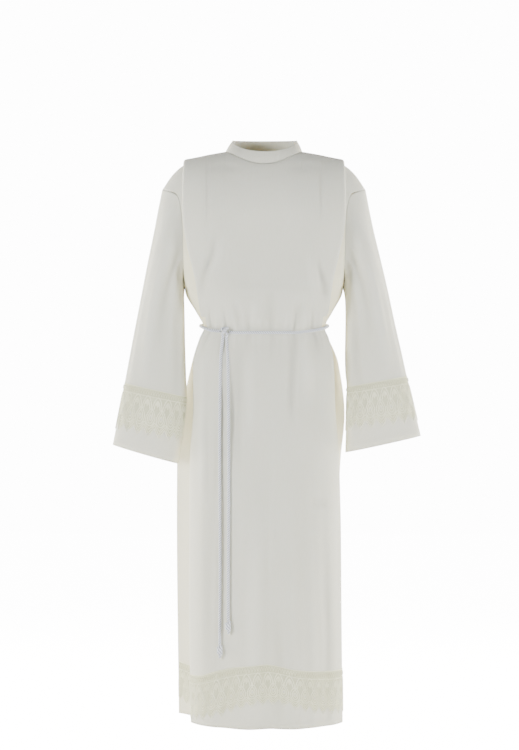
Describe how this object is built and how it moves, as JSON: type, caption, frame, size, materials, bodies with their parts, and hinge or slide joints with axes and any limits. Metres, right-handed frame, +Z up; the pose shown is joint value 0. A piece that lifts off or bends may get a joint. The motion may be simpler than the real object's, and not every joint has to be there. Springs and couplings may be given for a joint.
{
  "type": "alb with cord cincture",
  "caption": "Full-length ivory alb with stand collar, wide pleated shoulders, wide sleeves and scalloped lace bands, tied at the waist with a white cord cincture.",
  "frame": {"origin": "middle of the neck opening between the shoulders, level with the base of the neck", "axes": "+Z up along the worn garment, the wearer faces -Y, +X is the wearer's left"},
  "size_m": [0.764, 0.3199, 1.4494],
  "materials": {
    "alb_cloth": "matte fine plain weave, light ivory",
    "lace": "matte cream cotton lace",
    "cord": "twisted white cord with a soft sheen"
  },
  "bodies": {
    "root": {"front_bodice": "alb_cloth", "front_skirt_upper": "alb_cloth", "front_skirt_lower": "alb_cloth", "back_bodice": "alb_cloth", "back_skirt_upper": "alb_cloth", "back_skirt_lower": "alb_cloth", "sleeve_right": "alb_cloth", "sleeve_left": "alb_cloth", "collar": "alb_cloth", "lace_hem_front": "lace", "lace_hem_back": "lace", "lace_cuff_right_front": "lace", "lace_cuff_right_back": "lace", "lace_cuff_left_back": "lace", "lace_cuff_left_front": "lace", "waist_cord": "cord", "waist_knot": "cord", "cord_end_long": "cord", "end_knot_long": "cord", "cord_end_short": "cord", "end_knot_short": "cord"}
  },
  "joints": []
}
